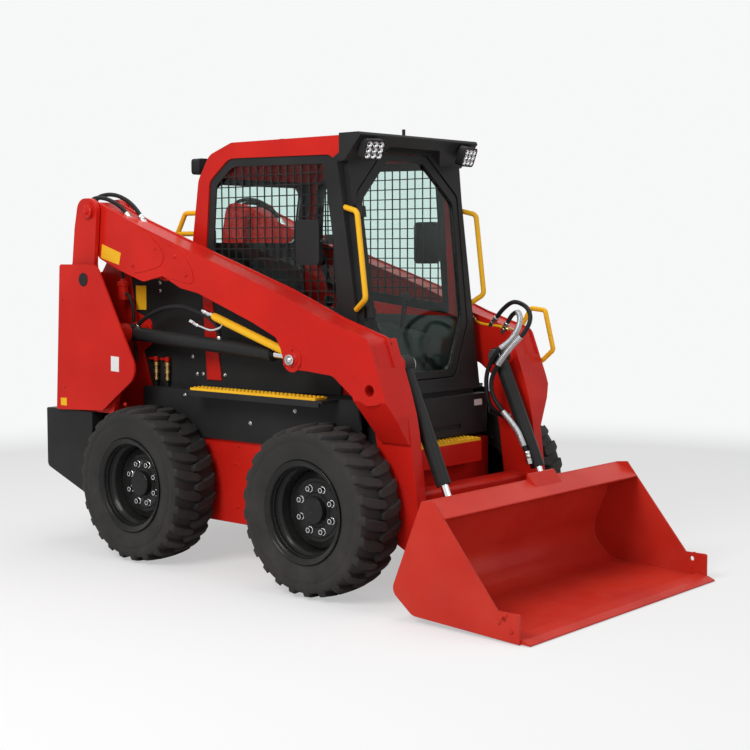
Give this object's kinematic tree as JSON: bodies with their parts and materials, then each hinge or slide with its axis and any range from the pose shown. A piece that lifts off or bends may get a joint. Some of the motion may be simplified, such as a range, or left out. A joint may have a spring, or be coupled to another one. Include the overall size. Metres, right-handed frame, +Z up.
{
  "type": "skid steer loader",
  "caption": "Compact wheeled skid steer loader with an enclosed cab, radial lift arms, hydraulic cylinders and a general-purpose bucket.",
  "frame": {"origin": "on the ground under the middle of the machine with its bucket lowered", "axes": "+Z up, the machine faces -Y, its right side is at -X"},
  "size_m": [1.53, 3.2029, 2.123],
  "materials": {
    "paint_red": "semi-gloss red enamel",
    "paint_black": "satin black powder coat",
    "paint_yellow": "semi-gloss safety yellow",
    "plastic_black": "moulded black plastic",
    "plastic_grey": "moulded dark grey plastic",
    "cast_grey": "painted casting",
    "glass": "lightly tinted safety glass",
    "seat_vinyl": "black vinyl",
    "steel": "zinc-plated steel",
    "chrome": "hard chrome",
    "tyre": "black rubber"
  },
  "bodies": {
    "chassis": {"main_frame": "paint_red", "axle_housings": "paint_black", "counterweight": "paint_black", "uprights": "paint_red", "tower_panels": "paint_red", "tower_plugs": "plastic_black", "engine_block": "cast_grey", "side_panels": "paint_black", "front_box": "paint_black", "step_box": "paint_red", "step_treads": "paint_yellow", "cab_sides": "paint_red", "cab_roof": "paint_red", "cab_rear_wall": "paint_black", "cab_floor": "paint_black", "cab_front": "paint_black", "window_guards": "paint_black", "window_glass": "glass", "lamps": "plastic_black", "grab_handles": "paint_yellow", "rear_handrail": "paint_yellow", "mirrors": "plastic_black", "roof_fittings": "plastic_black", "seat": "seat_vinyl", "consoles": "plastic_grey", "joysticks": "plastic_black", "rear_frame": "paint_black"},
    "lift_arms": {"arm_left": "paint_red", "arm_right": "paint_red", "cross_tube": "paint_red", "leg_left": "paint_red", "leg_right": "paint_red", "arm_pins": "steel", "arm_lock": "paint_yellow", "arm_handle": "paint_yellow"},
    "bucket": {"bucket_shell": "paint_red", "cutting_edge": "paint_red", "bucket_carrier": "paint_red"},
    "cab_door": {"door_frame": "paint_black", "door_glass": "glass"},
    "rear_door": {"rear_door": "paint_red"},
    "engine_lid": {"engine_lid": "paint_black"},
    "lift_barrel_left": {"lift_barrel_left": "paint_black"},
    "lift_rod_left": {"lift_rod_left": "chrome"},
    "tilt_barrel_left": {"tilt_barrel_left": "paint_black"},
    "tilt_rod_left": {"tilt_rod_left": "chrome"},
    "wheel_front_left": {"tyre_front_left": "tyre", "rim_front_left": "paint_black"},
    "wheel_rear_left": {"tyre_rear_left": "tyre", "rim_rear_left": "paint_black"},
    "lift_barrel_right": {"lift_barrel_right": "paint_black"},
    "lift_rod_right": {"lift_rod_right": "chrome"},
    "tilt_barrel_right": {"tilt_barrel_right": "paint_black"},
    "tilt_rod_right": {"tilt_rod_right": "chrome"},
    "wheel_front_right": {"tyre_front_right": "tyre", "rim_front_right": "paint_black"},
    "wheel_rear_right": {"tyre_rear_right": "tyre", "rim_rear_right": "paint_black"}
  },
  "joints": [
    {"name": "lift_arms_raise", "type": "hinge", "parent": "chassis", "child": "lift_arms", "pos_m": [0, 1.2395, 1.759], "axis": [-1, 0, 0], "range_deg": [0, 60]},
    {"name": "bucket_tilt", "type": "hinge", "parent": "lift_arms", "child": "bucket", "pos_m": [0, -0.8565, 0.235], "axis": [1, 0, 0], "range_deg": [-22, 94]},
    {"name": "lift_barrel_left_swing", "type": "hinge", "parent": "chassis", "child": "lift_barrel_left", "pos_m": [0.516, 1.0735, 1.13], "axis": [-1, 0, 0], "range_deg": [-1, 57.02]},
    {"name": "lift_rod_left_slide", "type": "slide", "parent": "lift_barrel_left", "child": "lift_rod_left", "axis": [0, -0.9981, -0.0623], "range_m": [-0.002, 0.6437]},
    {"name": "tilt_barrel_left_swing", "type": "hinge", "parent": "lift_arms", "child": "tilt_barrel_left", "pos_m": [0.36, -0.6365, 1.037], "axis": [1, 0, 0], "range_deg": [-3, 3]},
    {"name": "tilt_rod_left_slide", "type": "slide", "parent": "tilt_barrel_left", "child": "tilt_rod_left", "axis": [0, -0.4032, -0.9151], "range_m": [-0.0615, 0.2563]},
    {"name": "lift_barrel_right_swing", "type": "hinge", "parent": "chassis", "child": "lift_barrel_right", "pos_m": [-0.516, 1.0735, 1.13], "axis": [-1, 0, 0], "range_deg": [-1, 57.02]},
    {"name": "lift_rod_right_slide", "type": "slide", "parent": "lift_barrel_right", "child": "lift_rod_right", "axis": [0, -0.9981, -0.0623], "range_m": [-0.002, 0.6437]},
    {"name": "tilt_barrel_right_swing", "type": "hinge", "parent": "lift_arms", "child": "tilt_barrel_right", "pos_m": [-0.36, -0.6365, 1.037], "axis": [1, 0, 0], "range_deg": [-3, 3]},
    {"name": "tilt_rod_right_slide", "type": "slide", "parent": "tilt_barrel_right", "child": "tilt_rod_right", "axis": [0, -0.4032, -0.9151], "range_m": [-0.0615, 0.2563]},
    {"name": "cab_door_swing", "type": "hinge", "parent": "chassis", "child": "cab_door", "pos_m": [-0.384, -0.42125, 1.5], "axis": [0, -0.125, -0.9922], "range_deg": [0, 65]},
    {"name": "rear_door_swing", "type": "hinge", "parent": "chassis", "child": "rear_door", "pos_m": [-0.396, 1.4895, 1.08], "axis": [0, 0, 1], "range_deg": [0, 95]},
    {"name": "engine_lid_lift", "type": "hinge", "parent": "chassis", "child": "engine_lid", "pos_m": [0, 0.7355, 1.44], "axis": [1, 0, 0], "range_deg": [0, 55]},
    {"name": "wheel_front_left_roll", "type": "hinge", "parent": "chassis", "child": "wheel_front_left", "pos_m": [0.633, -0.3765, 0.39], "axis": [1, 0, 0], "continuous": true},
    {"name": "wheel_rear_left_roll", "type": "hinge", "parent": "chassis", "child": "wheel_rear_left", "pos_m": [0.633, 0.8175, 0.39], "axis": [1, 0, 0], "continuous": true},
    {"name": "wheel_front_right_roll", "type": "hinge", "parent": "chassis", "child": "wheel_front_right", "pos_m": [-0.633, -0.3765, 0.39], "axis": [1, 0, 0], "continuous": true},
    {"name": "wheel_rear_right_roll", "type": "hinge", "parent": "chassis", "child": "wheel_rear_right", "pos_m": [-0.633, 0.8175, 0.39], "axis": [1, 0, 0], "continuous": true}
  ],
  "couplings": [
    {"joint": "lift_barrel_left_swing", "follows": "lift_arms_raise", "ratio": 0.9337},
    {"joint": "lift_rod_left_slide", "follows": "lift_arms_raise", "m_per_rad": 0.6128},
    {"joint": "tilt_barrel_left_swing", "follows": "bucket_tilt", "ratio": -0.01},
    {"joint": "tilt_rod_left_slide", "follows": "bucket_tilt", "m_per_rad": 0.155},
    {"joint": "lift_barrel_right_swing", "follows": "lift_arms_raise", "ratio": 0.9337},
    {"joint": "lift_rod_right_slide", "follows": "lift_arms_raise", "m_per_rad": 0.6128},
    {"joint": "tilt_barrel_right_swing", "follows": "bucket_tilt", "ratio": -0.01},
    {"joint": "tilt_rod_right_slide", "follows": "bucket_tilt", "m_per_rad": 0.155}
  ]
}
